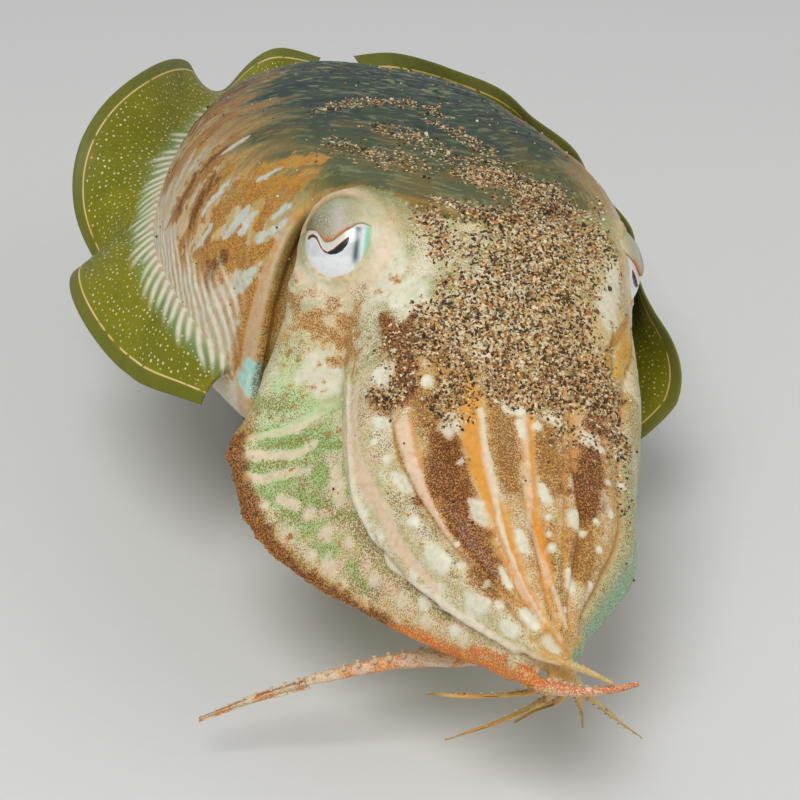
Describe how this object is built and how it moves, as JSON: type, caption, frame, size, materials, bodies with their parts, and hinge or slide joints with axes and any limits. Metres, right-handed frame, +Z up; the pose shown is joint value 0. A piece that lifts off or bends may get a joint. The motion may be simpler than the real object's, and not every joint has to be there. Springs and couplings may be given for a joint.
{
  "type": "common cuttlefish model",
  "caption": "Life-size common cuttlefish hovering with closed arms and raised fins, as a still display model on a flat base with two short rods.",
  "frame": {"origin": "centre of the underside of the stand's base", "axes": "+Z up; +Y along the animal towards its tail, so the head and arms point to -Y; +X towards its left side"},
  "size_m": [0.1238, 0.2515, 0.0868],
  "materials": {
    "skin": "wet, mottled brown, cream and pale green",
    "fin": "thin, olive, with small cream dots",
    "eye": "glossy silver white with a dark wavy pupil",
    "stand_plate": "satin black",
    "stand_rod": "satin"
  },
  "bodies": {
    "root": {"mantle": "skin", "head": "skin", "funnel": "skin", "arm_left_1_base": "skin", "arm_left_1_tip": "skin", "arm_left_2_base": "skin", "arm_left_2_tip": "skin", "arm_left_3_base": "skin", "arm_left_3_tip": "skin", "arm_left_4_base": "skin", "arm_left_4_tip": "skin", "arm_right_1_base": "skin", "arm_right_1_tip": "skin", "arm_right_2_base": "skin", "arm_right_2_tip": "skin", "arm_right_3_base": "skin", "arm_right_3_tip": "skin", "arm_right_4_base": "skin", "arm_right_4_tip": "skin", "fin_left_front": "fin", "fin_left_rear": "fin", "fin_right_front": "fin", "fin_right_rear": "fin", "eye_left": "eye", "eye_right": "eye", "stand_base": "stand_plate", "stand_rod_front": "stand_rod", "stand_rod_rear": "stand_rod"}
  },
  "joints": []
}
